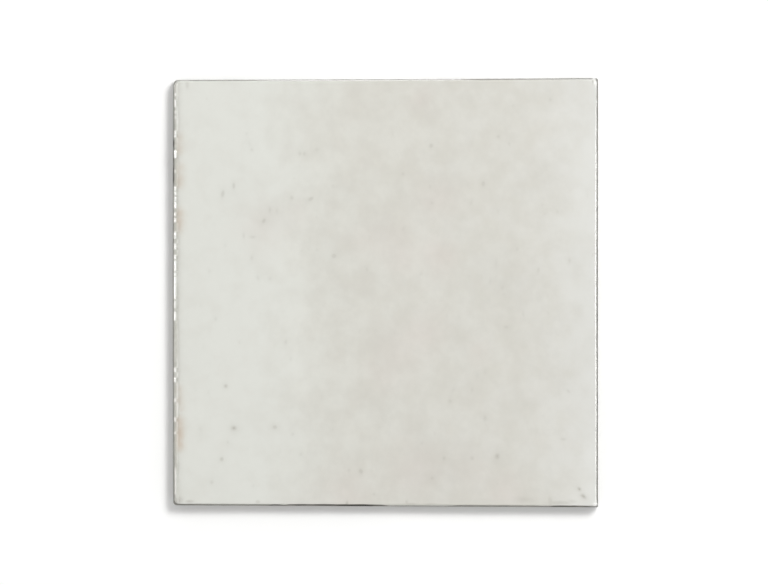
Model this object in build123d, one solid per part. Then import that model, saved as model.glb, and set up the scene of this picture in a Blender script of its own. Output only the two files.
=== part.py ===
"""Pressed ceramic wall tile with a wavy white glaze and a keyed back.

The tile lies on its back. The origin is the middle of the back, +Z is the glazed side, and +Y is the
side that is uppermost on the wall. All sizes are in millimetres.
"""

import math
import os

from build123d import *

# Overall size after firing. The thickness is taken to the mean level of the glaze.
TILE_WIDTH = 132.0
TILE_HEIGHT = 133.2
TILE_THICKNESS = 8.6

# How far the plan is out of true. The top and bottom sides spread to the right, and three sides bow:
# outwards where the value is positive.
TOP_SKEW = 0.55
BOTTOM_SKEW = 0.62
LEFT_BOW = 0.2
TOP_BOW = -0.08
BOTTOM_BOW = 0.03

# Radii of the clay's corners in plan. Each one was worn by a different amount before firing.
CORNER_BOTTOM_LEFT = 1.1
CORNER_BOTTOM_RIGHT = 0.4
CORNER_TOP_RIGHT = 0.7
CORNER_TOP_LEFT = 1.6

# The flank is widest at the parting line of the press, and leans in from there to both faces.
PARTING_HEIGHT = 2.8
BACK_LEAN = 0.9
FACE_LEAN = 0.5

# The glaze rolls over the rim of the face, and draws back from the corners as it melts.
ARRIS_RADIUS = 0.7
GLAZE_CORNER_PULL = 0.6

# Beside the rim the face falls away in a shoulder. On the left, where the tile was handled while the
# clay was soft, the shoulder is deeper, and its depth varies along the side.
SHOULDER_DROP = 0.08
SHOULDER_REACH = 2.6
LEFT_SHOULDER_DROP = 0.6
LEFT_SHOULDER_REACH = 1.7
LEFT_SHOULDER_SWING = 0.12
LEFT_SHOULDER_WAVELENGTH = 46.0

# Shallow waves of the face: amplitude, wavelength, direction in degrees from +X, and phase in degrees.
FACE_WAVES = [
    (0.18, 118.0, 24.0, 60.0),
    (0.14, 83.0, 112.0, 200.0),
    (0.10, 57.0, 67.0, 320.0),
    (0.07, 44.0, 158.0, 110.0),
    (0.04, 33.0, 8.0, 15.0),
]

# The keyed back: rows of drafted cells between ribs, inside a plain border that beds on the adhesive.
# The number of cells in a row is even, so that two ribs cross under the middle of the tile.
KEY_CELLS_IN_ROW = 10
KEY_RIB = 2.6
KEY_DEPTH = 0.8
KEY_DRAFT = 25.0
KEY_BORDER = 6.4

# The tool that forms the face: the spacing of its points, how true its surface is to them, how many
# reaches of a shoulder have the closer spacing, and its room beyond the clay.
TOOL_SPACING = 5.5
TOOL_SHOULDER_SPACING = 0.9
TOOL_TOLERANCE = 0.002
TOOL_SHOULDER_REACHES = 2.5
TOOL_CLEARANCE = 4.0


def plan(level, lean, corner_growth):
    """The tile's flat plan at one height, with its sides moved in and its corners rounded."""
    right = TILE_WIDTH / 2 - lean
    top = TILE_HEIGHT / 2 - lean
    left = lean + LEFT_BOW - TILE_WIDTH / 2
    top_left = top - TOP_SKEW
    bottom_left = BOTTOM_SKEW - top
    rounded_corners = [
        ((left, bottom_left), CORNER_BOTTOM_LEFT),
        ((right, -top), CORNER_BOTTOM_RIGHT),
        ((right, top), CORNER_TOP_RIGHT),
        ((left, top_left), CORNER_TOP_LEFT),
    ]
    corners = [corner for corner, radius in rounded_corners]
    middle_of_bottom = (0, (bottom_left - top) / 2 - BOTTOM_BOW)
    middle_of_top = (0, (top_left + top) / 2 + TOP_BOW)
    middle_of_left = (left - LEFT_BOW, (bottom_left + top_left) / 2)
    sides = [
        ThreePointArc(corners[0], middle_of_bottom, corners[1]),
        Line(corners[1], corners[2]),
        ThreePointArc(corners[2], middle_of_top, corners[3]),
        ThreePointArc(corners[3], middle_of_left, corners[0]),
    ]
    face = make_face(sides)
    for corner, radius in rounded_corners:
        nearest = face.vertices().sort_by_distance((*corner, 0))[0]
        face = fillet(nearest, radius + corner_growth)
    return Pos(0, 0, level) * face


def shoulder(distance, drop, reach):
    """How far the face has fallen at a distance from one side."""
    return drop * math.exp(-((distance / reach) ** 2))


def face_height(x, y):
    """Height of the glazed face above the back at one point of the plan."""
    height = TILE_THICKNESS
    for amplitude, wavelength, direction, phase in FACE_WAVES:
        heading = math.radians(direction)
        along = x * math.cos(heading) + y * math.sin(heading)
        height += amplitude * math.sin(math.tau * along / wavelength + math.radians(phase))
    swing = LEFT_SHOULDER_SWING * math.sin(math.tau * y / LEFT_SHOULDER_WAVELENGTH)
    height -= shoulder(TILE_WIDTH / 2 + x, LEFT_SHOULDER_DROP + swing, LEFT_SHOULDER_REACH)
    height -= shoulder(TILE_WIDTH / 2 - x, SHOULDER_DROP, SHOULDER_REACH)
    height -= shoulder(TILE_HEIGHT / 2 + y, SHOULDER_DROP, SHOULDER_REACH)
    height -= shoulder(TILE_HEIGHT / 2 - y, SHOULDER_DROP, SHOULDER_REACH)
    return height


def evenly(start, end, spacing):
    """Places from start up to, but not at, end, about a spacing apart."""
    steps = math.ceil((end - start) / spacing)
    return [start + (end - start) * step / steps for step in range(steps)]


def tool_places(half_side):
    """Where the forming tool has points along one direction: closer together over the shoulders."""
    outer = half_side + TOOL_CLEARANCE
    inner = half_side - TOOL_SHOULDER_REACHES * max(SHOULDER_REACH, LEFT_SHOULDER_REACH)
    near_start = evenly(-outer, -inner, TOOL_SHOULDER_SPACING)
    middle = evenly(-inner, inner, TOOL_SPACING)
    near_end = evenly(inner, outer, TOOL_SHOULDER_SPACING)
    return [*near_start, *middle, *near_end, outer]


def above_the_face():
    """The space over the wavy face, which shapes the top of the pressed blank."""
    places_x = tool_places(TILE_WIDTH / 2)
    places_y = tool_places(TILE_HEIGHT / 2)
    points = [[(x, y, face_height(x, y)) for y in places_y] for x in places_x]
    wavy_face = Face.make_surface_from_array_of_points(points, tol=TOOL_TOLERANCE, min_deg=3)
    return Solid.extrude(wavy_face, Vector(0, 0, 2 * TOOL_CLEARANCE))


def pressed_blank():
    """The clay body: two leaning flanks that meet at the parting line, under a wavy face."""
    blank_height = TILE_THICKNESS + TOOL_CLEARANCE
    above_parting = (blank_height - PARTING_HEIGHT) / (TILE_THICKNESS - PARTING_HEIGHT)
    sections = [
        plan(0, BACK_LEAN, 0),
        plan(PARTING_HEIGHT, 0, 0),
        plan(blank_height, above_parting * FACE_LEAN, above_parting * GLAZE_CORNER_PULL),
    ]
    return loft(sections, ruled=True) - above_the_face()


def key_cells():
    """The recesses of the back, which share out what the border and the ribs leave of each side."""
    ribs = (KEY_CELLS_IN_ROW - 1) * KEY_RIB
    margins = 2 * (BACK_LEAN + KEY_BORDER)
    width = (TILE_WIDTH - margins - ribs) / KEY_CELLS_IN_ROW
    height = (TILE_HEIGHT - margins - ribs) / KEY_CELLS_IN_ROW
    cell = extrude(Rectangle(width, height), amount=KEY_DEPTH, taper=KEY_DRAFT)
    pitches = (width + KEY_RIB, height + KEY_RIB)
    return [place * cell for place in GridLocations(*pitches, KEY_CELLS_IN_ROW, KEY_CELLS_IN_ROW)]


def wall_tile():
    """The whole tile: the blank with its keyed back and the glaze rolled over the rim of its face."""
    blank = pressed_blank()
    rim = blank.faces().sort_by(Axis.Z)[-1].edges()
    return fillet(rim, ARRIS_RADIUS) - key_cells()


os.makedirs("parts", exist_ok=True)
tile = wall_tile()
export_step(tile, "parts/wall_tile.step")
size = tile.bounding_box().size
print(f"wall_tile: {size.X:.2f} x {size.Y:.2f} x {size.Z:.2f} mm, {tile.volume / 1000:.1f} cm3")
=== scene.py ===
# %% [markdown]
# # A pressed wall tile with a wavy white glaze
#
# This lesson dresses one solid: a square ceramic wall tile that lies on its back. The solid already has
# the tile's size, its wavy face, its rolled rim and its keyed back. What it lacks is what fire and
# glaze leave behind: pinholes, soft mottling, beads along the edge and bare clay lower down. A mesh can
# carry all of that, so the plan is a dense copy of the solid with relief worked into it, and two
# materials that read facts stored on the mesh.

# %% Load the frame
import math

import bpy
import numpy as np
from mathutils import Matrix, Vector, noise
from mathutils.bvhtree import BVHTree
from mathutils.geometry import tessellate_polygon


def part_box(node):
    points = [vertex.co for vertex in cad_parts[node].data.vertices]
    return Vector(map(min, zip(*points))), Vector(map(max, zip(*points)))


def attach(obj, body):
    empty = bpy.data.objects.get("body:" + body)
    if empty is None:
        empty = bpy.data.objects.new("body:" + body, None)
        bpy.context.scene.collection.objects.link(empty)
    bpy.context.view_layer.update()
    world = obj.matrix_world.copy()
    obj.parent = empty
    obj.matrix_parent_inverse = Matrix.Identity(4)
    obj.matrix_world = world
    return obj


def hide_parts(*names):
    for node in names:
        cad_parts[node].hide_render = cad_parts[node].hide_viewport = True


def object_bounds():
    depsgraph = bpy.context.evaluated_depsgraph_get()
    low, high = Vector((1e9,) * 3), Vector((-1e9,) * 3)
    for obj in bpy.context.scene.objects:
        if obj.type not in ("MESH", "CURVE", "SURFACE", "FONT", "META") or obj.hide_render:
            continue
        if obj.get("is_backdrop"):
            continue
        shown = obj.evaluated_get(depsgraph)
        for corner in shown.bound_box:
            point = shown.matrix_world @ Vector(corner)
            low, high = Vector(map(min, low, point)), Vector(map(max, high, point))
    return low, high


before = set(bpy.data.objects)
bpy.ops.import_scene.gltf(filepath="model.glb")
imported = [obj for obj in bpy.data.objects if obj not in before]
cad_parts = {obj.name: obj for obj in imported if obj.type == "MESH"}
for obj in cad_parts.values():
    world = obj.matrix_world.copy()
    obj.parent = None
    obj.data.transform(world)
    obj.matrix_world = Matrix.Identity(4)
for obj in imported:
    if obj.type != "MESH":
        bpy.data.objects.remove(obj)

cad_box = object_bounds()
MM = 0.001
NODE = "wall_tile"
lowest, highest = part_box(NODE)
TILE_WIDTH = 2 * highest.x / MM
TILE_HEIGHT = -2 * lowest.y / MM
print(f"the solid is {TILE_WIDTH:.2f} by {TILE_HEIGHT:.2f} by {(highest.z - lowest.z) / MM:.2f} mm")

# %% [markdown]
# ## The camera comes first
#
# The photograph looks straight down on the glaze, and the four sides of the tile hardly show. That
# takes a camera that is far away behind a long lens, because a near one would look past the rim on one
# side only. An orthographic camera would do too, but a long lens keeps a trace of depth. The tile's
# width in pixels gives the scale of the picture, and its middle gives where the camera stands.

# %% Make the camera
PHOTO_WIDTH = 768
PHOTO_HEIGHT = 585
TILE_PIXELS_WIDE = 425.2
TILE_MIDDLE_COLUMN = 385.3
TILE_MIDDLE_ROW = 292.7
# Both in millimetres, as Blender counts a lens and its sensor.
LENS = 800
SENSOR = 36

mm_per_pixel = TILE_WIDTH / TILE_PIXELS_WIDE
camera_data = bpy.data.cameras.new("Camera")
camera_data.lens = LENS
camera_data.sensor_width = SENSOR
camera = bpy.data.objects.new("Camera", camera_data)
camera.location = (
    (PHOTO_WIDTH / 2 - TILE_MIDDLE_COLUMN) * mm_per_pixel * MM,
    (TILE_MIDDLE_ROW - PHOTO_HEIGHT / 2) * mm_per_pixel * MM,
    PHOTO_WIDTH * mm_per_pixel * MM * LENS / SENSOR,
)
bpy.context.scene.collection.objects.link(camera)
bpy.context.scene.camera = camera
bpy.context.scene.view_settings.view_transform = "Standard"
print(f"one pixel is {mm_per_pixel:.3f} mm, and the camera is {camera.location.z:.2f} m up")


def from_photo(column, row):
    """The place on the tile, in millimetres from its middle, that shows at a pixel of the photograph."""
    return (column - TILE_MIDDLE_COLUMN) * mm_per_pixel, (TILE_MIDDLE_ROW - row) * mm_per_pixel


# %% [markdown]
# ## Two helpers for materials
#
# Paint is given as sRGB hex, but Blender's shaders add up light, which is linear. One function
# does that change for every colour. A second one adds any node, with its settings and its links in one
# call, so that a material reads from top to bottom.

# %% Colours and nodes
# A Mix node that mixes colours has its share and its two colours at these inputs, and its result at
# this output. Its other sockets are for other kinds of data.
SHARE = 0
FIRST = 6
SECOND = 7
MIXED = 2


def linear(hex_colour):
    """A colour such as "#E3E2DB" as linear red, green, blue and alpha, by the sRGB standard's curve."""
    shares = [int(hex_colour[place:place + 2], 16) / 255 for place in (1, 3, 5)]
    return [s / 12.92 if s <= 0.04045 else ((s + 0.055) / 1.055) ** 2.4 for s in shares] + [1]


def add_node(tree, kind, inputs=None, **settings):
    """Adds one node.

    inputs maps a socket's name or number to a value, to a socket to link from, or to a node, which
    stands for its first output.
    """
    made = tree.nodes.new(kind)
    for name, value in settings.items():
        setattr(made, name, value)
    for name, value in (inputs or {}).items():
        if isinstance(value, bpy.types.Node):
            value = value.outputs[0]
        if isinstance(value, bpy.types.NodeSocket):
            tree.links.new(value, made.inputs[name])
        else:
            made.inputs[name].default_value = value
    return made


def new_material(name):
    """An empty material, and its node tree."""
    material = bpy.data.materials.new(name)
    material.use_nodes = True
    material.node_tree.nodes.clear()
    return material, material.node_tree


print("a mid grey of #808080 is", round(linear("#808080")[0], 3), "as light")

# %% [markdown]
# ## The table, and white all round
#
# The tile lies on a seamless white sweep. White paper lit to the level of this scene sends back a
# little less than full white, so the camera gets a small extra glow from it. The glow is added, not
# swapped in, so the tile's own shadow stays on the paper. The world does the same: it lights the tile
# gently, and looks white where the camera or a reflection sees it.

# %% Make the sweep
SWEEP_SIZE = 6.0
SWEEP_DROP = 0.05 * MM
PAPER_WHITE = "#F7F7F6"
PAPER_GLOW = 0.1


def seen_directly(tree):
    """A node that gives 1 where the camera, a reflection or clear glass sees the surface."""
    path = add_node(tree, "ShaderNodeLightPath").outputs
    rays = {0: path["Is Camera Ray"], 1: path["Is Glossy Ray"]}
    camera_or_glossy = add_node(tree, "ShaderNodeMath", rays, operation="MAXIMUM")
    rays = {0: camera_or_glossy, 1: path["Is Transmission Ray"]}
    return add_node(tree, "ShaderNodeMath", rays, operation="MAXIMUM")


def white_paper():
    """Matte white paper, with the glow that carries it to full white in the picture."""
    material, tree = new_material("MatteWhitePaper")
    paper = add_node(tree, "ShaderNodeBsdfDiffuse", {"Color": linear(PAPER_WHITE)})
    amounts = {0: seen_directly(tree), 1: PAPER_GLOW}
    glow_level = add_node(tree, "ShaderNodeMath", amounts, operation="MULTIPLY")
    glow = add_node(tree, "ShaderNodeEmission", {"Strength": glow_level})
    both = add_node(tree, "ShaderNodeAddShader", {0: paper, 1: glow})
    add_node(tree, "ShaderNodeOutputMaterial", {"Surface": both})
    return material


bpy.ops.mesh.primitive_plane_add(size=SWEEP_SIZE, location=(0, 0, -SWEEP_DROP))
sweep = bpy.context.object
sweep.name = "sweep"
sweep.data.materials.append(white_paper())
sweep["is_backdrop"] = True
print(f"the sweep is {SWEEP_SIZE} m wide")

# %% Light the world
SKY_LEVEL = 0.54

world = bpy.data.worlds.new("White studio")
world.use_nodes = True
sky_tree = world.node_tree
sky_tree.nodes.clear()
levels = {"Value": seen_directly(sky_tree), "To Min": SKY_LEVEL, "To Max": 1.0}
sky_strength = add_node(sky_tree, "ShaderNodeMapRange", levels)
sky = add_node(sky_tree, "ShaderNodeBackground", {"Color": linear("#FFFFFF"), "Strength": sky_strength})
add_node(sky_tree, "ShaderNodeOutputWorld", {"Surface": sky})
bpy.context.scene.world = world
print(f"the sky lights the tile at {SKY_LEVEL}")

# %% [markdown]
# ## The lamps
#
# The shadow in the photograph is short and soft, and falls to the left and below, so the main light is
# a large softbox high on the upper right. The left rim shows small bright glints and the right rim a
# thin pale band. Both are reflections of large lights beside the table, a strong one on the left and a
# weak one on the right. They cast no shadow of their own, so in this scene they are seen only in gloss,
# as a photographer's reflector cards are.

# %% Place the lamps
def softbox(name, azimuth, elevation, wide, high, radiance, only_in_gloss=False):
    """A lamp 1 m from the tile. All angles are in degrees, and a radiance of 1 looks white."""
    a = math.radians(azimuth)
    e = math.radians(elevation)
    direction = Vector((math.cos(a) * math.cos(e), math.sin(a) * math.cos(e), math.sin(e)))
    lamp = bpy.data.lights.new(name, "AREA")
    lamp.shape = "RECTANGLE"
    lamp.size = 2 * math.tan(math.radians(wide / 2))
    lamp.size_y = 2 * math.tan(math.radians(high / 2))
    # Blender spreads a lamp's watts over its area, and a quarter of what a square metre gets is radiance.
    lamp.energy = radiance * 4 * lamp.size * lamp.size_y
    made = bpy.data.objects.new(name, lamp)
    made.location = direction
    made.rotation_euler = direction.to_track_quat("Z", "Y").to_euler()
    made.visible_camera = False
    made.visible_diffuse = not only_in_gloss
    bpy.context.scene.collection.objects.link(made)
    level = 0 if only_in_gloss else radiance * lamp.size * lamp.size_y * math.sin(e) / math.pi
    print(f"{name} gives level paper {level:.2f}")


softbox("KeySoftbox", azimuth=47, elevation=68, wide=15, high=15, radiance=21.0)
softbox("LeftCard", azimuth=180, elevation=19, wide=50, high=24, radiance=38.0, only_in_gloss=True)
softbox("RightCard", azimuth=0, elevation=30, wide=60, high=56, radiance=6.0, only_in_gloss=True)

# %% [markdown]
# ## The form of the tile
#
# The mesh has to lie on the solid, so it is made from the same sizes: a plan with four different
# corners and slightly bowed sides, a flank that leans, and a face that is a sum of shallow waves with a
# shoulder beside each side. Numpy works the formula out for all points at once.

# %% Sizes of the form, in millimetres
TILE_THICKNESS = 8.6
# How far the left ends of the top and bottom sides are set in, and how far each side bows outwards.
TOP_SKEW = 0.55
BOTTOM_SKEW = 0.62
SIDE_BOWS = {"bottom": 0.03, "right": 0.0, "top": -0.08, "left": 0.2}
CORNER_RADII = {"bottom_left": 1.1, "bottom_right": 0.4, "top_right": 0.7, "top_left": 1.6}
# The flank is widest at the parting line of the press, and leans in from there to the back and face.
PARTING_HEIGHT = 2.8
BACK_LEAN = 0.9
FACE_LEAN = 0.5
# The glaze rounds the rim of the face, and draws back from its corners.
ARRIS_RADIUS = 0.7
GLAZE_CORNER_PULL = 0.6
# How far the face falls beside the rim, and how far from the rim that can be felt.
SHOULDER_DROP = 0.08
SHOULDER_REACH = 2.6
LEFT_SHOULDER_DROP = 0.6
LEFT_SHOULDER_REACH = 1.7
LEFT_SHOULDER_SWING = 0.12
LEFT_SHOULDER_WAVELENGTH = 46.0
# Amplitude and wavelength of each shallow wave, and its direction and phase in degrees.
FACE_WAVES = [
    (0.18, 118.0, 24.0, 60.0),
    (0.14, 83.0, 112.0, 200.0),
    (0.10, 57.0, 67.0, 320.0),
    (0.07, 44.0, 158.0, 110.0),
    (0.04, 33.0, 8.0, 15.0),
]


def bell(distance, reach):
    """1 at no distance, and softly less further away. At one reach it is 0.37."""
    return np.exp(-((distance / reach) ** 2))


def face_height(x, y):
    """Height of the glazed face above the back, for arrays of places in the plan."""
    height = np.full(np.shape(x), TILE_THICKNESS)
    for amplitude, wavelength, direction, phase in FACE_WAVES:
        heading = math.radians(direction)
        along = x * math.cos(heading) + y * math.sin(heading)
        height += amplitude * np.sin(math.tau * along / wavelength + math.radians(phase))
    swing = LEFT_SHOULDER_SWING * np.sin(math.tau * y / LEFT_SHOULDER_WAVELENGTH)
    height -= (LEFT_SHOULDER_DROP + swing) * bell(TILE_WIDTH / 2 + x, LEFT_SHOULDER_REACH)
    for distance in (TILE_WIDTH / 2 - x, TILE_HEIGHT / 2 + y, TILE_HEIGHT / 2 - y):
        height -= SHOULDER_DROP * bell(distance, SHOULDER_REACH)
    return height


print(f"at its middle the face is {face_height(0.0, 0.0):.2f} mm high")

# %% [markdown]
# ## A lattice for the face, rings for the rim
#
# A face full of 1 mm pinholes needs a fine mesh, but only round the pinholes. So the face is a lattice
# of 1 mm cells, and a cell near a pinhole is cut into 6 by 6 smaller ones. Its plain neighbours simply
# take the extra points into their own border, which keeps the mesh closed with no cracks. Round the
# lattice run rings of points that follow the plan: over the shoulder, over the rolled rim, down the
# flank to the parting line and in to the back. Each ring has one point for each point of the lattice's
# border, so the bands between them are plain quads. On the left the border has six points a cell, for
# the beads, and on the other sides two.

# %% Plan the lattice
LATTICE_MARGIN = 4.0
CELL_MM = 1.0
CUTS = 6
BORDER_CUTS = {"bottom": 2, "right": 2, "top": 2, "left": 6}

columns = round((TILE_WIDTH - 2 * LATTICE_MARGIN) / CELL_MM)
rows = round((TILE_HEIGHT - 2 * LATTICE_MARGIN) / CELL_MM)
cell_width = (TILE_WIDTH - 2 * LATTICE_MARGIN) / columns
cell_height = (TILE_HEIGHT - 2 * LATTICE_MARGIN) / rows


def lattice_place(i, j):
    """The plan position of a lattice point, which is counted in cuts from the bottom-left corner."""
    return (i / CUTS - columns / 2) * cell_width, (j / CUTS - rows / 2) * cell_height


def border_of_lattice():
    """The lattice's border points, anticlockwise from its bottom-left corner, side by side."""
    last_i = columns * CUTS
    last_j = rows * CUTS
    return {
        "bottom": [(i, 0) for i in range(0, last_i, CUTS // BORDER_CUTS["bottom"])],
        "right": [(last_i, j) for j in range(0, last_j, CUTS // BORDER_CUTS["right"])],
        "top": [(i, last_j) for i in range(last_i, 0, -CUTS // BORDER_CUTS["top"])],
        "left": [(0, j) for j in range(last_j, 0, -CUTS // BORDER_CUTS["left"])],
    }


border = border_of_lattice()
border_points = [point for side in border.values() for point in side]
print(f"the lattice has {columns} by {rows} cells, and its border {len(border_points)} points")

# %% [markdown]
# ## The outline of a ring
#
# The plan has four corners, each with its own radius, and three of its sides are slightly bowed. The
# function below walks round it once, and gives as many points to each side as the lattice's border has
# there, ten of them to a corner's arc. Moved in by a lean, the same walk gives every other ring.

# %% Walk round the plan
CORNER_STEPS = 10


def turned(direction, angle):
    """A plan direction turned anticlockwise by an angle."""
    c = math.cos(angle)
    s = math.sin(angle)
    return np.array([c * direction[0] - s * direction[1], s * direction[0] + c * direction[1]])


def outline(lean, corner_growth):
    """Points of the plan with its sides moved in, from the middle of the bottom-left corner's arc."""
    right = TILE_WIDTH / 2 - lean
    top = TILE_HEIGHT / 2 - lean
    left = lean + SIDE_BOWS["left"] - TILE_WIDTH / 2
    corners = [
        np.array((left, BOTTOM_SKEW - top)),
        np.array((right, -top)),
        np.array((right, top)),
        np.array((left, top - TOP_SKEW)),
    ]
    radii = [radius + corner_growth for radius in CORNER_RADII.values()]
    ways = [corners[(k + 1) % 4] - corners[k] for k in range(4)]
    ways = [way / np.linalg.norm(way) for way in ways]
    outwards = [np.array((way[1], -way[0])) for way in ways]
    turns = []
    for k in range(4):
        before = ways[k - 1]
        cross = before[0] * ways[k][1] - before[1] * ways[k][0]
        turns.append(math.atan2(cross, float(before @ ways[k])))
    tangents = [radii[k] * math.tan(turns[k] / 2) for k in range(4)]

    def arc(k, share):
        centre = corners[k] + ways[k] * tangents[k] - outwards[k] * radii[k]
        return centre + turned(outwards[k], (share - 1) * turns[k]) * radii[k]

    points = []
    half = CORNER_STEPS // 2
    for k, (side, bow) in enumerate(SIDE_BOWS.items()):
        following = (k + 1) % 4
        start = corners[k] + ways[k] * tangents[k]
        end = corners[following] - ways[k] * tangents[following]
        steps = len(border[side]) - CORNER_STEPS
        points += [arc(k, 0.5 + step / CORNER_STEPS) for step in range(half)]
        for step in range(steps):
            share = step / steps
            points.append(start + (end - start) * share + outwards[k] * 4 * bow * share * (1 - share))
        points += [arc(following, step / CORNER_STEPS) for step in range(half)]
    return np.array(points)


print(f"an arc of the plan's corner has {CORNER_STEPS} steps")


# %% Lay the three rings that the others follow
def unit(vectors):
    """Vectors scaled to length 1."""
    return vectors / np.linalg.norm(vectors, axis=1, keepdims=True)


def lifted(plan_points, height):
    """Plan points with a height."""
    return np.column_stack([plan_points, np.broadcast_to(height, len(plan_points))])


parting = lifted(outline(0, 0), PARTING_HEIGHT)
back_edge = lifted(outline(BACK_LEAN, 0), 0)
at_level = lifted(outline(FACE_LEAN, GLAZE_CORNER_PULL), TILE_THICKNESS)
for name, ring in {"back": back_edge, "parting line": parting, "rim": at_level}.items():
    print(f"the {name} is {np.ptp(ring[:, 0]):.2f} mm wide")

# %% [markdown]
# ## The profile of the rim
#
# In a vertical cut through any point of the rim, the flank and the face meet in a corner, which a
# circle of the glaze's own radius rounds off. The circle touches both lines at the same distance from
# the corner, and its centre lies on their bisector. Working this out for all points of the border at
# once gives the rings of the rolled rim, with a normal for each point to push the relief along.

# %% Find the circle that rounds the rim
# The flank leans, so the height at which the face cuts it depends on the place, and the place depends
# on the height. A few tries bring the two together.
CORNER_TRIES = 3

rim_corner = at_level
for _ in range(CORNER_TRIES):
    share = (face_height(*rim_corner[:, :2].T) - PARTING_HEIGHT) / (TILE_THICKNESS - PARTING_HEIGHT)
    rim_corner = parting + (at_level - parting) * share[:, None]

border_plan = np.array([lattice_place(i, j) for i, j in border_points])
inward = unit(border_plan - rim_corner[:, :2])
probe = rim_corner[:, :2] + inward
face_at_probe = lifted(probe, face_height(*probe.T))
down_flank = unit(parting - rim_corner)
along_face = unit(face_at_probe - rim_corner)
bisector = unit(down_flank + along_face)
half_angle = np.arccos((down_flank * along_face).sum(1)) / 2
tangent_length = (ARRIS_RADIUS / np.tan(half_angle))[:, None]
arc_centre = rim_corner + bisector * (ARRIS_RADIUS / np.sin(half_angle))[:, None]
flank_top = rim_corner + down_flank * tangent_length
face_start = rim_corner + along_face * tangent_length
nearest, furthest = tangent_length.min(), tangent_length.max()
print(f"the rounding begins {nearest:.2f} to {furthest:.2f} mm from the corner of the profile")

# %% Work out all the rings
SHOULDER_STEPS = 10
# Above 1, the rings of the shoulder crowd together towards the rim, where the face bends most.
SHOULDER_CROWDING = 1.5
ARRIS_STEPS = 9
FLANK_STEPS = 5
BACK_STEPS = 2

from_centre_flank = unit(flank_top - arc_centre)
from_centre_face = unit(face_start - arc_centre)
arc_angle = np.arccos((from_centre_flank * from_centre_face).sum(1))[:, None]
rings = []
ring_normals = []
for step in range(1, SHOULDER_STEPS):
    share = 1 - (1 - step / SHOULDER_STEPS) ** SHOULDER_CROWDING
    plan_points = border_plan + (face_start[:, :2] - border_plan) * share
    rings.append(lifted(plan_points, face_height(*plan_points.T)))
    ring_normals.append(from_centre_face)
for step in range(ARRIS_STEPS + 1):
    share = step / ARRIS_STEPS
    face_part = from_centre_face * np.sin((1 - share) * arc_angle)
    flank_part = from_centre_flank * np.sin(share * arc_angle)
    radial = (face_part + flank_part) / np.sin(arc_angle)
    rings.append(arc_centre + radial * ARRIS_RADIUS)
    ring_normals.append(radial)
for step in range(1, FLANK_STEPS + 1):
    rings.append(flank_top + (parting - flank_top) * step / FLANK_STEPS)
    ring_normals.append(from_centre_flank)
parting_ring = len(rings) - 1
outward = unit(lifted(from_centre_flank[:, :2], 0))
for step in range(1, BACK_STEPS + 1):
    rings.append(parting + (back_edge - parting) * step / BACK_STEPS)
    ring_normals.append(outward)
print(f"{len(rings)} rings of {len(border_points)} points run from the shoulder to the back")

# %% [markdown]
# ## What the kiln leaves: pinholes
#
# Gas leaves the clay through the molten glaze. Where it breaks through late, the glaze no longer
# closes, and a pinhole stays: a small, shallow pit about a millimetre across, often drawn out by the
# running glaze, with a little dust round it. Those that the photograph shows are placed one by one, and
# a seeded scatter adds faint ones. Each pit is real geometry, and how much darker its bottom is painted
# is also stored on the mesh, so that the material can darken it.

# %% Place the large pinholes
# Column and row on the photograph, width and length in millimetres, how dark its bottom is, and how
# far its length is turned to the left from upright, in degrees.
LARGE_PINHOLES = [
    (226, 386, 1.0, 1.0, 0.75, 0), (234, 428, 1.4, 1.2, 0.95, 0), (222, 459, 1.0, 1.1, 0.65, 0),
    (361, 471, 1.0, 1.3, 0.55, 20), (497, 456, 1.2, 1.4, 0.72, 0), (483, 184, 1.0, 1.4, 0.42, 0),
    (431, 146, 1.1, 1.2, 0.42, 0), (334, 256, 1.2, 1.2, 0.48, 0), (311, 199, 0.9, 1.5, 0.5, -60),
    (498, 137, 1.0, 1.0, 0.24, 0), (275, 427, 1.2, 1.0, 0.5, 0), (583, 496, 0.8, 1.3, 1.5, 45),
    (579, 489, 0.8, 1.1, 1.1, 40), (264, 221, 0.9, 1.3, 0.5, -30), (223, 194, 0.9, 1.9, 0.5, -8),
    (234, 186, 0.8, 1.8, 0.4, 0), (292, 198, 1.2, 1.3, 0.26, 0), (270, 210, 0.7, 1.7, 0.22, 0),
    (277, 211, 0.8, 1.7, 0.14, 0), (253, 237, 2.0, 0.9, 0.22, 0), (244, 236, 0.8, 1.8, 0.19, 0),
    (300, 154, 1.0, 1.2, 0.22, 0), (304.5, 154, 0.9, 1.2, 0.22, 0), (550, 100, 1.0, 1.0, 0.19, 0),
    (568, 391, 0.8, 1.5, 0.22, 40), (403, 174, 1.1, 1.1, 0.19, 0), (432, 203, 1.0, 1.1, 0.15, 0),
    (444, 458, 1.0, 1.2, 0.24, 0), (472, 458, 1.3, 1.3, 0.24, 0), (563, 439, 1.6, 0.8, 0.24, 0),
    (569, 261, 1.0, 1.8, 0.22, 0), (506, 327, 1.5, 0.9, 0.19, 0), (523, 314, 0.8, 1.9, 0.15, 0),
    (432, 478, 1.0, 0.9, 0.19, 0), (228, 442, 0.9, 0.9, 0.15, 0), (212, 482, 1.1, 1.1, 0.24, 0),
    (485, 418, 1.3, 2.0, 0.21, 0), (496, 263, 1.0, 2.6, 0.09, 0), (490, 280, 1.1, 2.4, 0.11, 0),
]
pinholes = [(*from_photo(column, row), *rest) for column, row, *rest in LARGE_PINHOLES]
print(f"{len(pinholes)} large pinholes")

# %% Add the small ones
# Column and row on the photograph. How long, how dark and how slanted they are is left to chance.
SMALL_PINHOLES = [
    (317, 150), (333, 186), (317, 250), (367, 269), (421, 274), (252, 258), (258, 278), (270, 279),
    (216, 319), (286, 342), (291, 359), (471, 203), (498, 212), (542, 205), (557, 212), (502, 288),
    (450, 401), (453, 390), (472, 390), (422, 443), (374, 494), (349, 470), (301, 454),
    (293, 434), (513, 106), (509, 144), (517, 249), (538, 270), (430, 187), (247, 134), (252, 150),
]
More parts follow.
